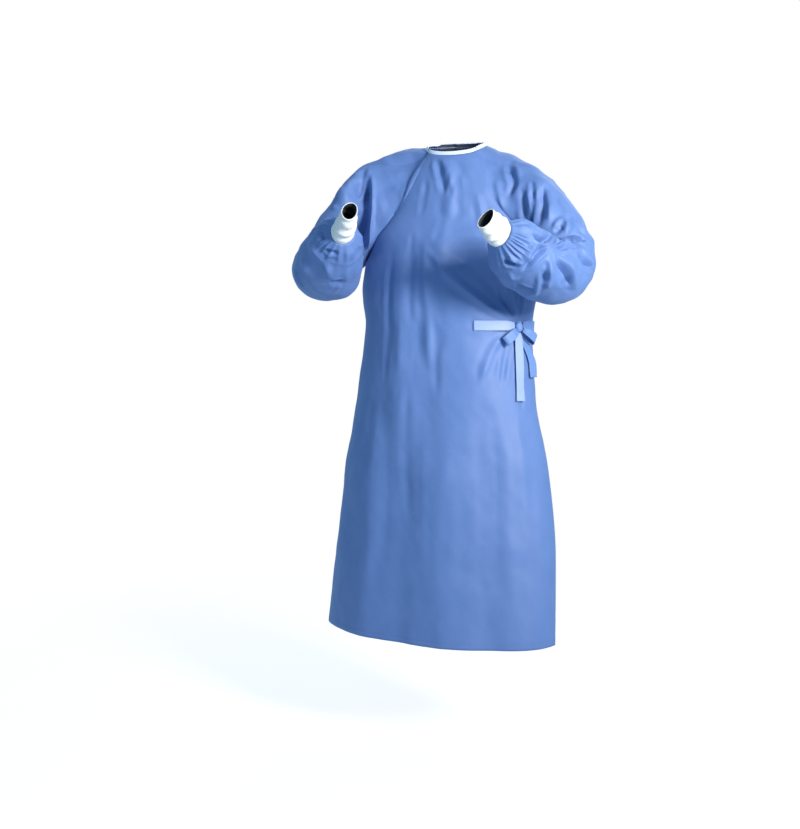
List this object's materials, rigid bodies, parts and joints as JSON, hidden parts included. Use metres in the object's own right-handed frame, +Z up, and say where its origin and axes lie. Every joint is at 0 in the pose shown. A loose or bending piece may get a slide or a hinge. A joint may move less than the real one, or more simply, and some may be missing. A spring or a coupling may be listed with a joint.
{
  "type": "surgical gown with waist belt",
  "caption": "Long surgical gown as worn, with bent raglan sleeves, knit cuffs, a bound neck, a wrap-over back and a waist belt tied in a bow at the side.",
  "frame": {"origin": "between the shoulders, level with the top of the neckline at its sides, where a wearer holds the gown up", "axes": "+Z up, -Y towards the gown's front, +X towards the wearer's left"},
  "size_m": [0.7248, 0.5929, 1.2242],
  "materials": {
    "gown_cloth": "matt blue nonwoven cloth with a faint sheen",
    "belt_cloth": "the same nonwoven, folded over and paler",
    "knit": "white ribbed knit",
    "binding": "white nonwoven binding"
  },
  "bodies": {
    "root": {"front_panel": "gown_cloth", "back_panel_right": "gown_cloth", "back_panel_left": "gown_cloth", "sleeve_right": "gown_cloth", "sleeve_left": "gown_cloth", "cuff_right": "knit", "cuff_left": "knit", "neck_binding": "binding", "front_tie": "belt_cloth", "side_tie": "belt_cloth", "belt_knot": "belt_cloth", "bow_loop_front": "belt_cloth", "bow_loop_side": "belt_cloth", "bow_tail_front": "belt_cloth", "bow_tail_side": "belt_cloth"}
  },
  "joints": []
}
